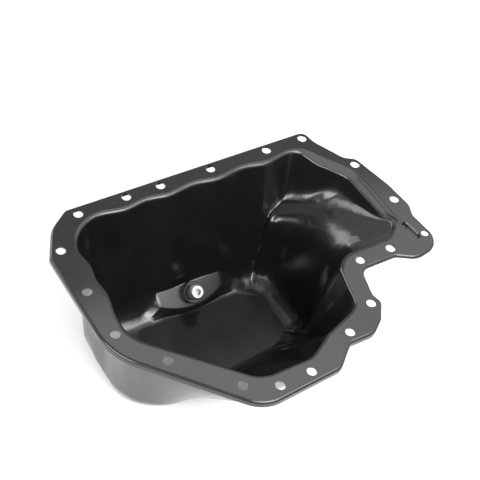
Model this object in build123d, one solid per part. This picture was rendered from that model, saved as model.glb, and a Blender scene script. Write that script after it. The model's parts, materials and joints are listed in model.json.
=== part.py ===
from build123d import *
from math import atan, cos, exp, hypot, pi, radians, sin, sqrt, tan
import os

# An engine oil pan pressed from one steel sheet, with its drain plug.
# Millimetres. Origin on the sealing face, midway between the two middle bolts of the
# straight rail; X runs along that rail, Z points up out of the open mouth.

# How far a cut or a joined piece runs past the face it starts from
over = 1.0

# Pressing
sheet = 1.6
pan_depth = 130.0
bend_radius = 4.0
wall_draft = 9.0
floor_fillet = 18.0
shelf_fillet = 15.0
roll_fillet = 24.0
lip_height = 6.0
lip_bend = 2.6
low_lip_height = 3.2
low_lip_from_x = 84.0
low_lip_slope = 14.0

# Bolt holes: centre of each, clockwise from the middle of the straight rail
bolt_hole = 8.0
nose_hole = 6.4
bolts = {
    "rail_3": (24.1, 0.0), "rail_2": (80.1, 0.0), "rail_1": (117.0, 0.0),
    "side_1": (143.8, -45.5), "side_2": (153.0, -93.5), "nose": (155.2, -136.0),
    "notch_1": (118.6, -137.4), "notch_2": (88.0, -137.4),
    "lobe_1": (71.6, -178.0), "lobe_2": (40.4, -194.5),
    "front_1": (-6.7, -212.5), "front_2": (-35.0, -213.0),
    "slant_1": (-60.6, -201.0), "slant_2": (-100.6, -158.0),
    "end_1": (-125.5, -120.0), "end_2": (-127.5, -75.3), "end_3": (-128.7, -30.1),
    "rail_6": (-100.0, -1.0), "rail_5": (-56.0, 0.0), "rail_4": (-24.1, 0.0),
}

# Rim outline: each corner is a bolt, an offset from it and the corner's radius
rim_corners = [
    ("rail_6", -8.0, 8.5, 6.0), ("rail_1", 7.0, 7.5, 8.0), ("rail_1", 8.0, -5.5, 25.0),
    ("side_1", -4.0, 12.0, 8.0), ("side_1", 5.5, 6.0, 8.0), ("side_2", 6.0, 17.0, 40.0),
    ("side_2", 9.4, -10.0, 9.0), ("nose", 3.2, 21.3, 5.0), ("nose", 8.4, -14.5, 17.0),
    ("notch_1", 16.0, -18.0, 16.0), ("notch_1", 0.0, -8.4, 8.0), ("notch_2", -3.5, -8.4, 9.0),
    ("lobe_1", 6.8, 7.0, 6.0), ("lobe_1", 9.4, -2.0, 6.0), ("lobe_1", -0.5, -16.0, 6.0),
    ("lobe_2", 18.0, -9.0, 14.0), ("lobe_2", -5.0, -9.0, 8.0), ("front_1", 23.0, -7.5, 12.0),
    ("slant_1", 6.6, -23.7, 30.0), ("end_1", -11.6, -14.5, 58.0), ("end_3", -11.4, -3.0, 6.0),
    ("end_3", 2.0, 23.5, 30.0),
]
# Mouth: the line where the flat rim starts to roll down into the wall
mouth_corners = [
    ("rail_6", -20.0, -3.5, 38.0), ("rail_1", -8.5, -6.7, 25.0), ("side_1", -5.0, -5.0, 30.0),
    ("side_2", -11.3, 0.0, 12.0), ("nose", -12.0, 25.0, 14.0), ("nose", -20.0, 6.3, 22.0),
    ("notch_2", -14.6, 7.2, 18.0),
    ("lobe_1", -9.7, 0.3, 18.0), ("lobe_2", -15.0, 3.8, 12.0), ("front_1", 9.1, 8.3, 25.0),
    ("slant_1", 15.3, -3.2, 28.0), ("end_1", 5.4, -7.5, 35.0),
]
# Beside these bolts the wall bulges inward
bulges = [
    ("rail_5", -5.5, 0.0), ("rail_4", 3.5, 0.0), ("rail_3", 2.3, 0.0), ("rail_2", -4.7, 0.0),
    ("end_2", 0.0, 26.0), ("end_2", 0.0, -8.5),
]
bulge_depth = 3.6
bulge_width = 15.0
bulge_reach = 40.0

# Sump foot: where the walls would meet the floor, as rounded corners of x, y and radius
foot_left, foot_right = -106.0, 77.4
foot_back, foot_front = -32.7, -127.5
foot_skew = 7.0
foot_slant = 7.0
foot_corners = [
    (foot_left - foot_skew, foot_back, 21.0), (foot_right, foot_back, 25.0),
    (foot_right, foot_front + foot_slant, 25.0), (foot_left, foot_front, 40.0),
]
# The upper part of a wall stands at the wall draft, down to this share of the depth
upright_share = 0.38

# Ramp beside the sump: depth below the sealing face at the origin, and its two slopes
ramp_depth = 103.8
ramp_rise_x = 0.46
ramp_rise_y = -0.338
ramp_min_depth = 3.4
ramp_fade = 18.0
ramp_least, ramp_full = 4.0, 12.0

# Shoulder: a shallow step between the rim and the wall, beside the side bolts
shoulder_depth = 2.2
shoulder_width = 4.2
shoulder_from_x = 106.0
shoulder_to_y = -118.0
shoulder_fade = 18.0

# Channel pressed into the rim towards the nose: its two end circles, depth and draft
channel_ends = [("nose", -10.2, 15.0, 2.8), ("nose", -9.6, 1.7, 4.8)]
channel_depth = 2.6
channel_draft = 30.0

# Rounded corners of an outline may fill this share of a side
side_share = 0.98

# Wall profiles: how many there are round the mouth, how many neighbours even out their
# feet, the flat margin before the bend, the most a profile may run aslant, the share of a
# side its own corners may fill, and the collar that stands on the tub while it is cut
columns = 132
runs_per_ring = 4
even_out = 7
rim_margin = 1.0
squint_limit = 0.35
settle_rounds = 8
bend_steps = 4
corner_share = 0.45
collar_height = 10.0

# Drain boss: a flat facet raised across the back corner of the floor. Its centre is the
# plug's; its lower edge bellies down below the plug and its ends run out into the corner
facet_x = -2.6
facet_in = 4.2
facet_lift = 14.8
facet_width = 62.0
facet_top = 10.0
facet_end = 3.0
facet_belly = 12.5
facet_tilt = 38.5
facet_flare = 45.0
facet_end_flare = 68.0
facet_height = 14.0
facet_edge = 2.6

# Drain plug, its washer and the nut welded inside
thread = 14.0
thread_gap = 0.1
nut_diameter = 20.0
nut_height = 7.0
nut_bevel = 0.8
nut_recess = 17.0
nut_recess_depth = 3.0
plug_head = 17.0
plug_head_height = 6.0
plug_flange = 18.0
plug_flange_height = 1.5
plug_length = 20.0
plug_tip_bevel = 1.6
plug_neck = 12.4
plug_neck_height = 1.4
plug_bore = 6.0
plug_bore_depth = 5.0
washer_diameter = 18.0
washer_height = 1.5


def at(corner):
    """Place of a corner given as a bolt and an offset from it."""
    name, dx, dy = corner[:3]
    return Vector(bolts[name][0] + dx, bolts[name][1] + dy)


def half_turn(points, index):
    """Half the angle by which the outline turns at this corner."""
    back = points[index - 1] - points[index]
    ahead = points[(index + 1) % len(points)] - points[index]
    return radians(180 - back.get_angle(ahead)) / 2


def rounded_outline(points, radii):
    """Closed wire through the points, each rounded by its radius as far as its sides allow."""
    count = len(points)
    reaches = [radius * tan(half_turn(points, index)) for index, radius in enumerate(radii)]
    room = []
    for index in range(count):
        side = (points[index] - points[index - 1]).length
        room.append(min(1.0, side_share * side / (reaches[index] + reaches[index - 1])))
    runs = []
    for index, point in enumerate(points):
        back = (points[index - 1] - point).normalized()
        ahead = (points[(index + 1) % count] - point).normalized()
        turn = half_turn(points, index)
        reach = reaches[index] * min(room[index], room[(index + 1) % count])
        middle = point + (back + ahead).normalized() * reach / tan(turn) * (1 / cos(turn) - 1)
        runs.append((point + back * reach, middle, point + ahead * reach))
    edges = []
    for index, (start, middle, end) in enumerate(runs):
        edges.append(Edge.make_three_point_arc(start, middle, end))
        edges.append(Edge.make_line(end, runs[(index + 1) % count][0]))
    return Wire(edges)


def bolt_outline(corners):
    return rounded_outline([at(corner) for corner in corners], [corner[3] for corner in corners])


def smooth_step(value):
    value = max(0.0, min(1.0, value))
    return value * value * (3 - 2 * value)


def mouth_line():
    """Points round the mouth and the inward direction at each."""
    base = bolt_outline(mouth_corners)
    line = []
    for index in range(columns):
        place = base.position_at(index / columns)
        along = base.tangent_at(index / columns)
        inward = Vector(along.Y, -along.X)
        bulge = 0.0
        for site in bulges:
            gap = place - at(site)
            if gap.length < bulge_reach:
                bulge += exp(-(gap.dot(along) / bulge_width) ** 2)
        line.append((place + inward * bulge_depth * bulge, inward))
    return line


def foot_line(places):
    """Point of the foot outline below each place of the mouth, evenly spread."""
    points = [Vector(x, y) for x, y, radius in foot_corners]
    outline = rounded_outline(points, [radius for x, y, radius in foot_corners])
    nearest = []
    for place in places:
        spot = outline.distance_to_with_closest_points(place)[1]
        nearest.append(outline.param_at_point(spot))
    steps = []
    for index, value in enumerate(nearest):
        step = nearest[(index + 1) % columns] - value
        steps.append(step - round(step))
    feet = []
    total = nearest[0]
    for index in range(columns):
        shift = 0.0
        for reach in range(1, even_out + 1):
            ahead = sum(steps[(index + k) % columns] for k in range(reach))
            behind = sum(steps[(index - k - 1) % columns] for k in range(reach))
            shift += (ahead - behind) / (2 * even_out + 1)
        along = outline.tangent_at((total + shift) % 1.0)
        feet.append((outline.position_at((total + shift) % 1.0), along))
        total += steps[index]
    middle = sum(points, Vector(0, 0)) / len(points)
    line = []
    for foot, along in feet:
        inward = Vector(-along.Y, along.X)
        if inward.dot(middle - foot) < 0:
            inward = -inward
        line.append((foot, inward))
    return line


def ramp_at(place):
    depth = ramp_depth - ramp_rise_x * place.X - ramp_rise_y * place.Y
    return max(ramp_min_depth, depth)


def rounded_corner(before, corner, after, reach):
    """Four points of the arc that rounds a corner of the profile, each with its direction."""
    arriving = (corner - before).normalized()
    leaving = (after - corner).normalized()
    start, end = corner - arriving * reach, corner + leaving * reach
    weight = cos(radians(arriving.get_angle(leaving)) / 2)
    stations = []
    for part in (0, 1 / 3, 2 / 3, 1):
        near, middle, far = (1 - part) ** 2, 2 * part * (1 - part) * weight, part ** 2
        spot = (start * near + corner * middle + end * far) / (near + middle + far)
        stations.append((spot, (arriving * (1 - part) + leaving * part).normalized()))
    return stations


def shoulder_at(place):
    """How much of the shoulder there is here: 1 beside the side bolts, 0 elsewhere."""
    start = smooth_step((place.X - shoulder_from_x) / shoulder_fade)
    end = smooth_step((place.Y - shoulder_to_y) / shoulder_fade)
    return start * end


def profile_corners(place, inward, foot):
    """Corners of the wall profile below a place of the mouth, as (way in, height)."""
    share = shoulder_at(place)
    drop, start = shoulder_depth * share, shoulder_width * share
    depth = pan_depth - sheet
    span = (foot - place).length
    ahead = (foot - place) / span
    squint = max(squint_limit, ahead.dot(inward))
    draft = tan(radians(wall_draft))

    ramp_top = ramp_at(place + ahead * (start + bend_radius))
    for _ in range(settle_rounds):
        wall_in = start + (bend_radius + (ramp_top - drop) * draft) / squint
        ramp_top = ramp_at(place + ahead * wall_in)
    ramp_low = ramp_top
    for _ in range(settle_rounds):
        roll_in = span - (depth - ramp_low) * draft
        ramp_low = ramp_at(place + ahead * roll_in)
    roll_in = max(roll_in, wall_in)
    beside = smooth_step((place.X - foot_right) / ramp_fade)
    ramp = smooth_step((roll_in - wall_in - ramp_least) / (ramp_full - ramp_least)) * beside

    plain = min(draft, (span - start - bend_radius) * squint / (depth - drop))
    tilt = plain * (1 - ramp) + draft * ramp
    turn = pi / 2 - atan(tilt)
    top = Vector(start + bend_radius * tan(turn / 2) / squint, -drop)
    foot_spot = Vector(span, -depth)
    knee = top + (foot_spot - top) * upright_share
    knee.X = min(knee.X, top.X + (depth - drop) * upright_share * draft / squint)
    roll = (knee + foot_spot) / 2
    knee = knee * (1 - ramp) + Vector(wall_in, -ramp_top) * ramp
    roll = roll * (1 - ramp) + Vector(roll_in, -ramp_low) * ramp
    return share, squint, turn, top, knee, roll, foot_spot


def wall_profile(place, inward, foot, floor_way):
    """Stations down the wall from rim to floor, each with the direction down the wall."""
    share, squint, turn, top, knee, roll, foot_spot = profile_corners(place, inward, foot)
    floor = foot_spot + Vector(2 * floor_fillet, 0)
    drop = -top.Y
    start, end = -rim_margin * (1 - share), shoulder_width * share
    stations = []
    for step in range(bend_steps):
        part = step / bend_steps
        spot = Vector(start + (end - start) * part, -drop * (1 - cos(pi * part)) / 2)
        way = Vector(end - start, -drop * pi / 2 * sin(pi * part))
        stations.append((spot, way.normalized()))

    full_reach = bend_radius * tan(turn / 2)
    radius = bend_radius * min(1.0, (knee - top).length * corner_share / full_reach)
    bend_start = top.X - radius * tan(turn / 2) / squint
    for step in range(bend_steps + 1):
        angle = turn * step / bend_steps
        spot = Vector(bend_start + radius * sin(angle) / squint, -drop - radius * (1 - cos(angle)))
        stations.append((spot, Vector(cos(angle) / squint, -sin(angle)).normalized()))

    turn_foot = radians((foot_spot - roll).get_angle(Vector(1, 0)))
    upper, middle, lower = [(after - before).length * corner_share for before, after
                            in ((top, knee), (knee, roll), (roll, foot_spot))]
    knee_reach = min(shelf_fillet, upper, middle)
    roll_reach = min(roll_fillet, middle, lower)
    foot_reach = min(floor_fillet * tan(turn_foot / 2), lower)
    for arc in (rounded_corner(top, knee, roll, knee_reach),
                rounded_corner(knee, roll, foot_spot, roll_reach),
                rounded_corner(roll, foot_spot, floor, foot_reach)):
        stations.append(((stations[-1][0] + arc[0][0]) / 2, arc[0][1]))
        stations += arc
    span = (foot - place).length
    ahead = (foot - place) / span
    column = []
    for spot, way in stations:
        below = place + ahead * min(spot.X, span) + floor_way * max(0.0, spot.X - span)
        heading = ahead if spot.X < span else floor_way
        column.append((below + Vector(0, 0, spot.Y), heading * way.X + Vector(0, 0, way.Y)))
    return column


def wall_rings():
    """Rings of points down the inside of the wall, and the same rings on its outside."""
    line = mouth_line()
    feet = foot_line([place for place, inward in line])
    profiles = [wall_profile(*top, *bottom) for top, bottom in zip(line, feet)]
    inside, outside = [], []
    for station in range(len(profiles[0])):
        ring = [profile[station][0] for profile in profiles]
        outer = []
        for index, place in enumerate(ring):
            along = ring[(index + 1) % columns] - ring[index - 1]
            outward = along.cross(profiles[index][station][1]).normalized()
            outer.append(place + outward * sheet)
        inside.append(ring)
        outside.append(outer)
    return inside, outside


def ring_wire(ring):
    """Closed wire through the ring's points, made of a few smooth runs."""
    run = columns // runs_per_ring
    edges = []
    for start in range(0, columns, run):
        points = [ring[(start + step) % columns] for step in range(run + 1)]
        tangents = [(ring[(end + 1) % columns] - ring[end - 1]) / 2
                    for end in (start, (start + run) % columns)]
        edges.append(Edge.make_spline(points, tangents, parameters=list(range(run + 1)), scale=False))
    return Wire(edges)


def lofted(rings):
    """Closed solid through the rings, with a collar standing on the first of them."""
    collar = [place + Vector(0, 0, collar_height) for place in rings[0]]
    return Solid.make_loft([ring_wire(ring) for ring in reversed([collar] + rings)], ruled=True)


def flat_face(shape, plane):
    """The largest face of the shape that lies in this plane."""
    flats = [face for face in shape.faces().filter_by(GeomType.PLANE)
             if abs(plane.to_local_coords(face.center()).Z) < 1e-3
             and abs(face.normal_at().dot(plane.z_dir)) > 0.999]
    return max(flats, key=lambda face: face.area)


def level(height):
    return Plane.XY.offset(height)


def channel_outline(grow, height):
    """Outline round the channel's two end circles, grown by this much, at this height."""
    (first, small), (last, large) = [(at(end), end[3] + grow) for end in channel_ends]
    along = (last - first).normalized()
    across = Vector(-along.Y, along.X)
    lean = (small - large) / (last - first).length
    side = sqrt(1 - lean * lean)
    left, right = along * lean + across * side, along * lean - across * side
    edges = [
        Edge.make_three_point_arc(first + left * small, first - along * small, first + right * small),
        Edge.make_line(first + right * small, last + right * large),
        Edge.make_three_point_arc(last + right * large, last + along * large, last + left * large),
        Edge.make_line(last + left * large, first + left * small),
    ]
    return Wire(edges).moved(Location((0, 0, height)))


def channel_block(inset):
    """Tapered block that fills the channel, or its outside when the inset is the sheet."""
    draw_in = tan(radians(channel_draft))
    wider = inset / cos(radians(channel_draft))
    top, low = -inset / 2, -channel_depth - inset
    return Solid.make_loft([channel_outline(wider + height * draw_in, height)
                            for height in (top, low)], ruled=True)


def make_lip():
    """Flat rim with its edge turned down, still without mouth and holes."""
    outline = bolt_outline(rim_corners)
    block = Solid.extrude(Face(outline), Vector(0, 0, -lip_height))
    block = fillet(block.edges().group_by(Axis.Z)[-1], lip_bend)
    inner_outline = offset(outline, -sheet).wires()[0]
    hollow = Solid.extrude(Face(inner_outline), Vector(0, 0, sheet - lip_height))
    hollow = fillet(hollow.moved(Location((0, 0, -sheet))).edges().group_by(Axis.Z)[-1],
                    lip_bend - sheet)
    box = block.bounding_box()
    right, front, back = box.max.X + over, box.min.Y - over, box.max.Y + over
    low = -lip_height - over
    steps = [(low_lip_from_x - low_lip_slope, low), (low_lip_from_x - low_lip_slope, -lip_height),
             (low_lip_from_x, -low_lip_height), (right, -low_lip_height), (right, low)]
    side = Wire.make_polygon([Vector(x, front, z) for x, z in steps])
    lip = block - hollow - Solid.extrude(Face(side), Vector(0, back - front, 0))
    return lip + channel_block(sheet) - channel_block(0)


def facet_plane():
    """Plane on the drain facet, pointing up into the sump."""
    tilt = radians(facet_tilt)
    centre = (facet_x, foot_back - facet_in, facet_lift - pan_depth)
    return Plane(centre, x_dir=(1, 0, 0), z_dir=(0, -sin(tilt), cos(tilt)))


def facet_block(inset):
    """Block that grows downward and outward from the facet, the inset deeper than it."""
    flare, end_flare = tan(radians(facet_flare)), tan(radians(facet_end_flare))
    draw_in = inset * (hypot(flare, 1) - flare)
    end_draw_in = inset * (hypot(end_flare, 1) - end_flare)
    outlines = []
    for drop in (0, facet_height):
        spread, end_spread = drop * flare - draw_in, drop * end_flare - end_draw_in
        end, top = facet_width / 2 + end_spread, facet_top + spread
        low, belly = -facet_end - spread, -facet_belly - spread
        base = facet_plane().offset(-inset - drop)
        corners = [base.from_local_coords(Vector(u, v))
                   for u, v in ((-end, low), (0, belly), (end, low), (end, top), (-end, top))]
        outlines.append(Wire([Edge.make_three_point_arc(*corners[:3])]
                             + [Edge.make_line(corners[step], corners[(step + 1) % 5])
                                for step in (2, 3, 4)]))
    block = Solid.make_loft(outlines, ruled=True)
    up = Axis(facet_plane().origin, facet_plane().z_dir)
    return fillet(block.edges().group_by(up)[-1], facet_edge - inset)


def facet_cylinder(radius, start, height):
    """Cylinder square to the facet; start is measured up from the facet."""
    return Solid.make_cylinder(radius, height, facet_plane().offset(start))


def make_pan():
    """Rim, lip, wall, floor and drain boss as one closed sheet."""
    lip = make_lip()
    holes = []
    for name, (x, y) in bolts.items():
        size = nose_hole if name == "nose" else bolt_hole
        holes.append(Solid.make_cylinder(size / 2, sheet, Plane((x, y, -sheet))))
    drain = facet_cylinder(thread / 2 + thread_gap, -sheet, sheet)
    faces = [hole.faces().filter_by(GeomType.CYLINDER)[0] for hole in holes + [drain]]
    faces += lip.faces()
    for depth, rings in zip((0, sheet), wall_rings()):
        tub = lofted(rings) - facet_block(depth)
        rim_level, facet_level = level(-depth), facet_plane().offset(-depth)
        rim, facet = flat_face(lip, rim_level), flat_face(tub, facet_level)
        circles = [flat_face(hole, rim_level).outer_wire() for hole in holes]
        drain_circle = flat_face(drain, facet_level).outer_wire()
        faces = [face for face in faces if not face.is_same(rim)]
        faces.append(Face(rim.outer_wire(), rim.inner_wires() + [ring_wire(rings[0])] + circles))
        faces.append(Face(facet.outer_wire(), [drain_circle]))
        faces += [face for face in tub.faces() if not face.is_same(facet)
                  and face.center().Z < collar_height / 4 - depth]
    return Solid(Shell(faces)).fix()


def make_nut():
    """Round nut welded on the facet, with a wide recess round its thread."""
    body = facet_cylinder(nut_diameter / 2, 0, nut_height)
    body = chamfer(body.edges().filter_by(GeomType.CIRCLE), nut_bevel)
    body -= facet_cylinder(nut_recess / 2, nut_height - nut_recess_depth, nut_height)
    return body - facet_cylinder(thread / 2 + thread_gap, -over, nut_height)


def make_washer():
    seat = -sheet - washer_height
    body = facet_cylinder(washer_diameter / 2, seat, washer_height)
    return body - facet_cylinder(thread / 2 + thread_gap, seat - over, washer_height + 2 * over)


def make_plug():
    """Hexagon head with a flange, a plain shank for the thread and a necked tip with a bore."""
    seat = -sheet - washer_height
    tip = seat + plug_length
    shank = facet_cylinder(thread / 2, seat - over, plug_length + over)
    shank = chamfer(shank.edges().group_by(Axis(facet_plane().origin, facet_plane().z_dir))[-1],
                    plug_tip_bevel)
    neck_start = tip - plug_tip_bevel - 2 * plug_neck_height
    neck = (facet_cylinder(thread, neck_start, plug_neck_height)
            - facet_cylinder(plug_neck / 2, neck_start, plug_neck_height))
    flange = facet_cylinder(plug_flange / 2, seat - plug_flange_height, plug_flange_height)
    head_base = facet_plane().offset(seat - plug_flange_height)
    hexagon = RegularPolygon(plug_head / 2, 6, major_radius=False)
    head = extrude(head_base * hexagon, amount=-plug_head_height)
    bore = facet_cylinder(plug_bore / 2, tip - plug_bore_depth, 2 * plug_bore_depth)
    return shank + flange + head - neck - bore


if __name__ == "__main__":
    os.makedirs("parts", exist_ok=True)
    export_step(make_pan(), "parts/pan_pressing.step")
    export_step(make_nut(), "parts/weld_nut.step")
    export_step(make_washer(), "parts/sealing_washer.step")
    export_step(make_plug(), "parts/drain_plug.step")
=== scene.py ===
import json
from math import atan2, cos, pi, radians, sin
import bpy
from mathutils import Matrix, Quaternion, Vector

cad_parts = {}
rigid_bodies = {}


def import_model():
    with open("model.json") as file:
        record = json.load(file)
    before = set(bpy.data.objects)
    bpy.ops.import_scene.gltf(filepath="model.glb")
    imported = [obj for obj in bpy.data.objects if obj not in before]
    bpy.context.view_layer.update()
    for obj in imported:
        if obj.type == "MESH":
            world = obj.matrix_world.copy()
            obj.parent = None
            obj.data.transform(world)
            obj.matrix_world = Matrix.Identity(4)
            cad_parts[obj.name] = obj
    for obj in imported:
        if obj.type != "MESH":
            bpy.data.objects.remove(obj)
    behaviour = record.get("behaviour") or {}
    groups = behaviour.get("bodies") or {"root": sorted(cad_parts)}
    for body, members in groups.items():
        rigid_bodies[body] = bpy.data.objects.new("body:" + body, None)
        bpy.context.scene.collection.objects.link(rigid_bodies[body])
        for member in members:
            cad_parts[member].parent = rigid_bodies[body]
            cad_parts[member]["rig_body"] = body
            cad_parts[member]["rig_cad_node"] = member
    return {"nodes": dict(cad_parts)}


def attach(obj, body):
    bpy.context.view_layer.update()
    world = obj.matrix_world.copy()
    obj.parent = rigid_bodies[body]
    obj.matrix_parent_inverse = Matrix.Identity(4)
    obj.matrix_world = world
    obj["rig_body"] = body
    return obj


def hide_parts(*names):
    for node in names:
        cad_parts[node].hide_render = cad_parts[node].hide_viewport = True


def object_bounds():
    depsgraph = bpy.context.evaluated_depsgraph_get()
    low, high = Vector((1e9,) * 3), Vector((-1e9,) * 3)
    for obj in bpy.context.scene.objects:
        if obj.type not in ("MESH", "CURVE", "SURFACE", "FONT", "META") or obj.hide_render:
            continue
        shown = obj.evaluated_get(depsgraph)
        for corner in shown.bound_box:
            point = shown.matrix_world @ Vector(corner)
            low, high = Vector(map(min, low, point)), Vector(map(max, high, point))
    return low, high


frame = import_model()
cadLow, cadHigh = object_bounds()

nodes = frame["nodes"]
white = (1.0, 1.0, 1.0, 1.0)
noneToFull = (0.0, 1.0)
noiseRange = (0.3, 0.7)  # where most of a noise texture's values lie
print("frame loaded:", len(nodes), "CAD nodes")


def makeActive(piece):
    bpy.ops.object.select_all(action="DESELECT")
    piece.select_set(True)
    bpy.context.view_layer.objects.active = piece


def giveMaterial(piece, material):
    piece.data.materials.clear()
    piece.data.materials.append(material)


def newGroup(name, inputs, outputs):
    group = bpy.data.node_groups.new(name, "ShaderNodeTree")
    for label, kind, value in inputs:
        socket = group.interface.new_socket(label, in_out="INPUT", socket_type=kind)
        socket.default_value = value
    for label in outputs:
        group.interface.new_socket(label, in_out="OUTPUT", socket_type="NodeSocketFloat")
    return group, group.nodes.new("NodeGroupInput"), group.nodes.new("NodeGroupOutput")


def placeGroup(tree, group, **values):
    # the tree is a material's, a group's or the world's, here and in the helpers below;
    # an underscore in a value's name stands for the space in the socket's name
    node = tree.nodes.new("ShaderNodeGroup")
    node.node_tree = group
    for label, value in values.items():
        node.inputs[label.replace("_", " ")].default_value = value
    return node


def objectPlace(tree):
    return tree.nodes.new("ShaderNodeTexCoord").outputs["Object"]


def mathNode(tree, operation, *values):
    # each value is a number or another node's output
    node = tree.nodes.new("ShaderNodeMath")
    node.operation = operation
    for socket, value in zip(node.inputs, values):
        if isinstance(value, float):
            socket.default_value = value
        else:
            tree.links.new(value, socket)
    return node.outputs["Value"]


def spread(tree, value, newEnds, oldEnds=noiseRange):
    # stretches the old range of values over the new one, held at both ends
    node = tree.nodes.new("ShaderNodeMapRange")
    node.inputs["From Min"].default_value, node.inputs["From Max"].default_value = oldEnds
    node.inputs["To Min"].default_value, node.inputs["To Max"].default_value = newEnds
    tree.links.new(value, node.inputs["Value"])
    return node.outputs["Result"]


def colourMix(tree, mask, first, second):
    # first where the mask is 0, second where it is 1; each is a colour or a node's output
    mix = tree.nodes.new("ShaderNodeMix")
    mix.data_type = "RGBA"
    tree.links.new(mask, mix.inputs["Factor"])
    for label, colour in (("A", first), ("B", second)):
        if isinstance(colour, tuple):
            mix.inputs[label].default_value = (*colour, 1.0)
        else:
            tree.links.new(colour, mix.inputs[label])
    return mix.outputs["Result"]


def noise(tree, scale, detail, roughness):
    node = tree.nodes.new("ShaderNodeTexNoise")
    node.inputs["Detail"].default_value = detail
    node.inputs["Roughness"].default_value = roughness
    tree.links.new(objectPlace(tree), node.inputs["Vector"])
    tree.links.new(scale, node.inputs["Scale"])
    return node.outputs["Fac"]


def addBump(tree, height, strength, depth):
    node = tree.nodes.new("ShaderNodeBump")
    node.inputs["Strength"].default_value = strength
    node.inputs["Distance"].default_value = depth
    tree.links.new(height, node.inputs["Height"])
    return node


paintTextureLook = {
    "peelDetail": 2.0,
    "peelRoughness": 0.5,
    "cloudDetail": 5.0,
    "cloudRoughness": 0.6,
}


def makePaintTexture():
    # fine orange peel and soft cloudy patches, both from the object's own coordinates
    look = paintTextureLook
    group, given, result = newGroup("paintTexture", [
        ("Peel Size", "NodeSocketFloat", 420.0),
        ("Cloud Size", "NodeSocketFloat", 22.0),
    ], ["Peel", "Clouds"])
    peel = noise(group, given.outputs["Peel Size"], look["peelDetail"], look["peelRoughness"])
    clouds = noise(group, given.outputs["Cloud Size"], look["cloudDetail"], look["cloudRoughness"])
    group.links.new(peel, result.inputs["Peel"])
    group.links.new(clouds, result.inputs["Clouds"])
    return group


# an edge shows where the rounded normal leaves the true one, as the cosine between them
edgeMaskLook = {
    "samples": 4,
    "edgeBetween": (0.985, 0.80),
    "patchDetail": 4.0,
    "patchRoughness": 0.5,
    "patchBetween": (0.45, 0.65),
}


def makeEdgeMask():
    # 1 on sharp outer edges, in patches, fading to 0 a little way from them
    look = edgeMaskLook
    group, given, result = newGroup("edgeMask", [
        ("Reach", "NodeSocketFloat", 0.0008),
        ("Patchiness", "NodeSocketFloat", 60.0),
    ], ["Edge"])
    links = group.links
    bevel = group.nodes.new("ShaderNodeBevel")
    bevel.samples = look["samples"]
    links.new(given.outputs["Reach"], bevel.inputs["Radius"])
    surface = group.nodes.new("ShaderNodeNewGeometry")
    compare = group.nodes.new("ShaderNodeVectorMath")
    compare.operation = "DOT_PRODUCT"
    links.new(bevel.outputs["Normal"], compare.inputs[0])
    links.new(surface.outputs["Normal"], compare.inputs[1])
    edge = spread(group, compare.outputs["Value"], noneToFull, look["edgeBetween"])
    patches = noise(group, given.outputs["Patchiness"], look["patchDetail"], look["patchRoughness"])
    patchMask = spread(group, patches, noneToFull, look["patchBetween"])
    links.new(mathNode(group, "MULTIPLY", edge, patchMask), result.inputs["Edge"])
    return group


def makeLineMask():
    # 1 on a straight run in the XY plane; it begins at Start, and Turn lays it along X
    group, given, result = newGroup("lineMask", [
        ("Start", "NodeSocketVector", (0.0, 0.0, 0.0)),
        ("Turn", "NodeSocketVector", (0.0, 0.0, 0.0)),
        ("Length", "NodeSocketFloat", 0.01),
        ("Half Width", "NodeSocketFloat", 0.001),
        ("Softness", "NodeSocketFloat", 0.001),
    ], ["Line"])
    links = group.links
    moved = group.nodes.new("ShaderNodeVectorMath")
    moved.operation = "SUBTRACT"
    links.new(objectPlace(group), moved.inputs[0])
    links.new(given.outputs["Start"], moved.inputs[1])
    turned = group.nodes.new("ShaderNodeVectorRotate")
    turned.rotation_type = "EULER_XYZ"
    links.new(moved.outputs["Vector"], turned.inputs["Vector"])
    links.new(given.outputs["Turn"], turned.inputs["Rotation"])
    parts = group.nodes.new("ShaderNodeSeparateXYZ")
    links.new(turned.outputs["Vector"], parts.inputs["Vector"])
    along, aside = parts.outputs["X"], parts.outputs["Y"]

    # how far the point lies past the nearer end, then how far from the run as a whole
    half = mathNode(group, "MULTIPLY", given.outputs["Length"], 0.5)
    fromMiddle = mathNode(group, "ABSOLUTE", mathNode(group, "SUBTRACT", along, half))
    past = mathNode(group, "MAXIMUM", mathNode(group, "SUBTRACT", fromMiddle, half), 0.0)
    pastSquared = mathNode(group, "MULTIPLY", past, past)
    asideSquared = mathNode(group, "MULTIPLY", aside, aside)
    away = mathNode(group, "SQRT", mathNode(group, "ADD", pastSquared, asideSquared))
    inside = mathNode(group, "SUBTRACT", given.outputs["Half Width"], away)
    share = group.nodes.new("ShaderNodeMapRange")
    share.interpolation_type = "SMOOTHSTEP"
    links.new(inside, share.inputs["Value"])
    links.new(given.outputs["Softness"], share.inputs["From Max"])
    links.new(share.outputs["Result"], result.inputs["Line"])
    return group


paintTexture = makePaintTexture()
edgeMask = makeEdgeMask()
lineMask = makeLineMask()

# the pressed line from the mouth's corner to the nose, as runs of (from, to) in metres
pressedLine = {
    "runs": [((0.1394, -0.0600), (0.1412, -0.1074)), ((0.1412, -0.1074), (0.1450, -0.1225))],
    "halfWidth": 0.0020,
    "softness": 0.0012,
    "strength": 1.0,
    "depth": 0.0030,
}


def pressedLineMask(tree):
    # 1 on any of the line's runs
    joined = None
    for start, end in pressedLine["runs"]:
        run = Vector(end) - Vector(start)
        node = placeGroup(tree, lineMask, Start=(*start, 0.0), Length=run.length,
                          Turn=(0.0, 0.0, -atan2(run.y, run.x)),
                          Half_Width=pressedLine["halfWidth"], Softness=pressedLine["softness"])
        line = node.outputs["Line"]
        joined = line if joined is None else mathNode(tree, "MAXIMUM", joined, line)
    return joined


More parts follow.
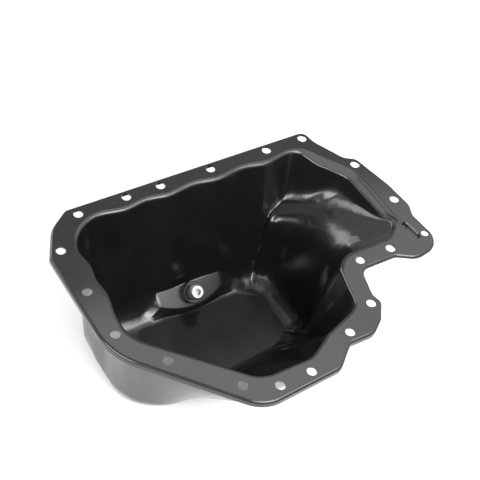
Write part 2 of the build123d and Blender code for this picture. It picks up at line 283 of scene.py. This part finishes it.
blackPaintLook = {
    "colour": (0.003, 0.003, 0.0033),
    "cloudColour": (0.005, 0.005, 0.0055),
    "cloudSize": 18.0,
    "gloss": (0.17, 0.25),
    # painted highlight: the sharp outer edges are painted lighter, in patches
    "edgeHighlightColour": (0.06, 0.06, 0.06),
    "edgeHighlightReach": 0.0007,
    "edgeHighlightPatches": 90.0,
    "bodyShine": 0.20,
    "coatRoughness": 0.20,
    "coat": (0.0, 0.44),
    # painted shade: no coat on the flat sump floor, so its reflection is dimmed there
    "shadedFloorCoatBetween": (-0.1278, -0.1245),  # heights: none on the flat sump floor, full above it
    "peelSize": 520.0,
    "peelStrength": 0.05,
    "peelDepth": 0.0004,
}


def makeBlackPaint():
    look = blackPaintLook
    material = bpy.data.materials.new("blackPaint")
    material.use_nodes = True
    tree = material.node_tree
    shader = tree.nodes["Principled BSDF"]
    texture = placeGroup(tree, paintTexture, Peel_Size=look["peelSize"],
                         Cloud_Size=look["cloudSize"])
    edges = placeGroup(tree, edgeMask, Reach=look["edgeHighlightReach"], Patchiness=look["edgeHighlightPatches"])
    clouds = spread(tree, texture.outputs["Clouds"], noneToFull)
    fresh = colourMix(tree, clouds, look["colour"], look["cloudColour"])
    # painted highlight: the sharp outer edges get a lighter colour, in patches
    paintedEdgeHighlight = colourMix(tree, edges.outputs["Edge"], fresh, look["edgeHighlightColour"])
    tree.links.new(paintedEdgeHighlight, shader.inputs["Base Color"])
    gloss = spread(tree, texture.outputs["Clouds"], look["gloss"])
    tree.links.new(gloss, shader.inputs["Roughness"])
    shader.inputs["Specular IOR Level"].default_value = look["bodyShine"]
    shader.inputs["Coat Roughness"].default_value = look["coatRoughness"]
    # painted shade: the coat, and with it the reflection, fades out on the flat sump floor
    parts = tree.nodes.new("ShaderNodeSeparateXYZ")
    tree.links.new(objectPlace(tree), parts.inputs["Vector"])
    coat = spread(tree, parts.outputs["Z"], look["coat"], look["shadedFloorCoatBetween"])
    tree.links.new(coat, shader.inputs["Coat Weight"])
    peel = addBump(tree, texture.outputs["Peel"], look["peelStrength"], look["peelDepth"])
    pressed = addBump(tree, pressedLineMask(tree), pressedLine["strength"], pressedLine["depth"])
    pressed.invert = True
    tree.links.new(peel.outputs["Normal"], pressed.inputs["Normal"])
    tree.links.new(pressed.outputs["Normal"], shader.inputs["Normal"])
    return material


zincLook = {
    "colour": (0.32, 0.32, 0.31),
    "dullColour": (0.18, 0.18, 0.17),
    "cloudSize": 160.0,
    "gloss": (0.38, 0.55),
    "grainSize": 1500.0,
    "grainStrength": 0.08,
    "grainDepth": 0.0002,
}


def makeZinc():
    look = zincLook
    material = bpy.data.materials.new("zincPlate")
    material.use_nodes = True
    tree = material.node_tree
    shader = tree.nodes["Principled BSDF"]
    shader.inputs["Metallic"].default_value = 1.0
    texture = placeGroup(tree, paintTexture, Peel_Size=look["grainSize"],
                         Cloud_Size=look["cloudSize"])
    clouds = spread(tree, texture.outputs["Clouds"], noneToFull)
    base = colourMix(tree, clouds, look["colour"], look["dullColour"])
    tree.links.new(base, shader.inputs["Base Color"])
    gloss = spread(tree, texture.outputs["Clouds"], look["gloss"])
    tree.links.new(gloss, shader.inputs["Roughness"])
    grain = addBump(tree, texture.outputs["Peel"], look["grainStrength"], look["grainDepth"])
    tree.links.new(grain.outputs["Normal"], shader.inputs["Normal"])
    return material


blackPaint = makeBlackPaint()
zincPlate = makeZinc()
print("materials made")

# in metres; a pair says where the relaxing of the sheet begins and where it is full
pressingLook = {
    "weldReach": 0.000002,
    "smoothAngle": 38,  # degrees
    "relaxStrength": 0.5,
    "wholeSteps": 8,
    "wholeBack": (-0.080, -0.055),
    "wholeBelow": (-0.006, -0.016),
    "wholeAbove": (-0.1278, -0.1235),
    "filletSteps": 20,
    "filletBack": (-0.066, -0.056),
    "filletBelow": (-0.095, -0.110),
    "filletAbove": (-0.1283, -0.1270),
    "drainPlace": -0.0026,
    "besideDrain": (0.031, 0.036),
    "aboveDrain": (-0.085, -0.075),
    "flatWeight": 60,
}


def weldedCopy(nodeName, pieceName, look):
    # a copy of the CAD node with its loose triangles joined, so that it shades smoothly
    piece = nodes[nodeName].copy()
    piece.data = nodes[nodeName].data.copy()
    piece.name = piece.data.name = pieceName
    bpy.context.scene.collection.objects.link(piece)
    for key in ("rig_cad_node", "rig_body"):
        if key in piece:
            del piece[key]
    piece.parent = None
    makeActive(piece)
    bpy.ops.mesh.customdata_custom_splitnormals_clear()
    bpy.ops.object.mode_set(mode="EDIT")
    bpy.ops.mesh.select_all(action="SELECT")
    bpy.ops.mesh.remove_doubles(threshold=look["weldReach"])
    bpy.ops.object.mode_set(mode="OBJECT")
    bpy.ops.object.shade_smooth_by_angle(angle=radians(look["smoothAngle"]))
    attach(piece, "root")
    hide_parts(nodeName)
    return piece


def applyModifier(piece, kind, **settings):
    makeActive(piece)
    bpy.ops.object.modifier_add(type=kind)
    modifier = piece.modifiers[-1]
    for name, value in settings.items():
        setattr(modifier, name, value)
    bpy.ops.object.modifier_apply(modifier=modifier.name)


def fade(value, ends):
    # 0 before the first end, 1 past the second one, soft between
    share = min(1.0, max(0.0, (value - ends[0]) / (ends[1] - ends[0])))
    return share * share * (3 - 2 * share)


def relaxSheet(piece, steps, weightAt):
    # smooths the sheet where weightAt says, from 0 for left alone to 1 for fully
    group = piece.vertex_groups.new(name="relaxed")
    for point in piece.data.vertices:
        weight = weightAt(*point.co)
        if weight > 0:
            group.add([point.index], weight, "REPLACE")
    applyModifier(piece, "CORRECTIVE_SMOOTH", smooth_type="LENGTH_WEIGHTED", use_only_smooth=True,
                  factor=pressingLook["relaxStrength"], iterations=steps, vertex_group=group.name)
    piece.vertex_groups.clear()


def softenPressing(piece):
    # the sheet flows over its fillets, as deep-drawn steel does, but stays put round the drain
    look = pressingLook

    def clearOfDrain(x, z):
        beside = fade(abs(x - look["drainPlace"]), look["besideDrain"])
        return max(beside, fade(z, look["aboveDrain"]))

    def wholeBack(x, y, z):
        return (fade(y, look["wholeBack"]) * clearOfDrain(x, z)
                * fade(z, look["wholeBelow"]) * fade(z, look["wholeAbove"]))

    def backFillet(x, y, z):
        return (fade(y, look["filletBack"]) * clearOfDrain(x, z)
                * fade(z, look["filletBelow"]) * fade(z, look["filletAbove"]))

    relaxSheet(piece, look["wholeSteps"], wholeBack)
    relaxSheet(piece, look["filletSteps"], backFillet)


def evenShading(piece):
    # wide flats keep their own normals, so a fillet's shade does not creep across them
    applyModifier(piece, "WEIGHTED_NORMAL", mode="FACE_AREA", weight=pressingLook["flatWeight"],
                  keep_sharp=True)


panSkin = weldedCopy("pan_pressing", "panSkin", pressingLook)
softenPressing(panSkin)
evenShading(panSkin)
giveMaterial(panSkin, blackPaint)
print("pan dressed")

giveMaterial(nodes["weld_nut"], blackPaint)
giveMaterial(nodes["drain_plug"], zincPlate)
giveMaterial(nodes["sealing_washer"], zincPlate)
print("drain plug dressed")

stageLook = {
    "floorSize": 8.0,
    "floorDrop": 0.0002,  # metres below the pan, so that the two faces don't flicker
    "floorColour": (0.66, 0.66, 0.66),
    "floorRoughness": 0.9,
    "whiteBetween": (0.45, 1.10),  # how far out the floor turns plain white, in metres
    "sky": (0.50, 1.0),  # the strength for light rays, then for the rays that show it
}


def showingRays(tree, *rays):
    # 1 for rays of any of the named kinds
    path = tree.nodes.new("ShaderNodeLightPath")
    seen = path.outputs[rays[0]]
    for ray in rays[1:]:
        seen = mathNode(tree, "MAXIMUM", seen, path.outputs[ray])
    return seen


def makeFloor():
    look = stageLook
    bpy.ops.mesh.primitive_plane_add(size=look["floorSize"],
                                     location=(0, 0, cadLow.z - look["floorDrop"]))
    floor = bpy.context.active_object
    floor.name = "studioFloor"
    material = bpy.data.materials.new("paleFloor")
    material.use_nodes = True
    tree = material.node_tree
    shader = tree.nodes["Principled BSDF"]
    shader.inputs["Base Color"].default_value = (*look["floorColour"], 1.0)
    shader.inputs["Roughness"].default_value = look["floorRoughness"]
    # far from the pan the floor glows white to the camera and in reflections
    distance = tree.nodes.new("ShaderNodeVectorMath")
    distance.operation = "LENGTH"
    tree.links.new(objectPlace(tree), distance.inputs[0])
    far = spread(tree, distance.outputs["Value"], noneToFull, look["whiteBetween"])
    seen = showingRays(tree, "Is Camera Ray", "Is Glossy Ray")
    shader.inputs["Emission Color"].default_value = white
    tree.links.new(mathNode(tree, "MULTIPLY", far, seen), shader.inputs["Emission Strength"])
    # from below it is clear
    clear = tree.nodes.new("ShaderNodeBsdfTransparent")
    side = tree.nodes.new("ShaderNodeNewGeometry")
    blend = tree.nodes.new("ShaderNodeMixShader")
    tree.links.new(side.outputs["Backfacing"], blend.inputs["Fac"])
    tree.links.new(shader.outputs["BSDF"], blend.inputs[1])
    tree.links.new(clear.outputs["BSDF"], blend.inputs[2])
    tree.links.new(blend.outputs["Shader"], tree.nodes["Material Output"].inputs["Surface"])
    floor.data.materials.append(material)


def makeSky():
    # white to the camera and in reflections, dimmer as the light that falls on things
    world = bpy.data.worlds.new("studioSky")
    bpy.context.scene.world = world
    world.use_nodes = True
    tree = world.node_tree
    light = tree.nodes["Background"]
    light.inputs["Color"].default_value = white
    seen = showingRays(tree, "Is Camera Ray", "Is Glossy Ray", "Is Transmission Ray")
    strength = spread(tree, seen, stageLook["sky"], noneToFull)
    tree.links.new(strength, light.inputs["Strength"])


# where each soft box hangs, the point it faces, its width and height, and its face's glow
softBoxes = {
    "overheadLeft": ((0.040, -0.260, 0.300), (0.040, -0.260, 0.0), (0.32, 0.74), 2.8),
    "overheadRight": ((0.460, -0.260, 0.300), (0.460, -0.260, 0.0), (0.52, 0.76), 2.1),
    "frontBox": ((-0.147, -0.827, 0.740), (-0.030, -0.040, -0.120), (0.75, 0.48), 8.5),
    "frontLowBox": ((-0.020, -0.460, 0.262), (-0.060, -0.036, -0.122), (0.28, 0.18), 4.0),
    "frontHighBox": ((0.144, -0.544, 0.728), (-0.020, -0.040, -0.120), (0.85, 0.32), 8.0),
    "leftBox": ((-0.950, -0.250, 0.350), (0.090, -0.040, -0.020), (0.70, 0.42), 12.5),
    "backBox": ((-0.615, 0.760, 0.400), (0.090, -0.080, -0.060), (0.80, 0.46), 6.5),
}


def makeSoftBox(name, place, aim, size, glow):
    lamp = bpy.data.lights.new(name, "AREA")
    lamp.shape = "RECTANGLE"
    lamp.size, lamp.size_y = size
    lamp.energy = glow * pi * size[0] * size[1]  # the power that gives the face this glow
    holder = bpy.data.objects.new(name, lamp)
    bpy.context.scene.collection.objects.link(holder)
    holder.location = place
    holder.rotation_mode = "QUATERNION"
    holder.rotation_quaternion = (Vector(aim) - Vector(place)).to_track_quat("-Z", "Y")


viewLook = {
    "place": (-0.3944, -0.5788, 0.7512),
    "azimuth": 38.8,  # degrees to the right of straight back
    "dip": 49.5,
    "roll": 11.4,
    "lens": 91.1,
    "sensorWidth": 36.0,
    "nearest": 0.01,
}


def makeCamera():
    look = viewLook
    camera = bpy.data.objects.new("viewCamera", bpy.data.cameras.new("viewCamera"))
    bpy.context.scene.collection.objects.link(camera)
    turn, dip = radians(look["azimuth"]), radians(look["dip"])
    ahead = Vector((sin(turn) * cos(dip), cos(turn) * cos(dip), -sin(dip)))
    tilt = Quaternion((0, 0, 1), radians(look["roll"]))
    camera.location = look["place"]
    camera.rotation_mode = "QUATERNION"
    camera.rotation_quaternion = ahead.to_track_quat("-Z", "Y") @ tilt
    camera.data.sensor_width = look["sensorWidth"]
    camera.data.lens = look["lens"]
    camera.data.clip_start = look["nearest"]
    bpy.context.scene.camera = camera


makeFloor()
makeSky()
for boxName, boxLook in softBoxes.items():
    makeSoftBox(boxName, *boxLook)
makeCamera()
bpy.context.scene.view_settings.view_transform = "Standard"
print("stage set")
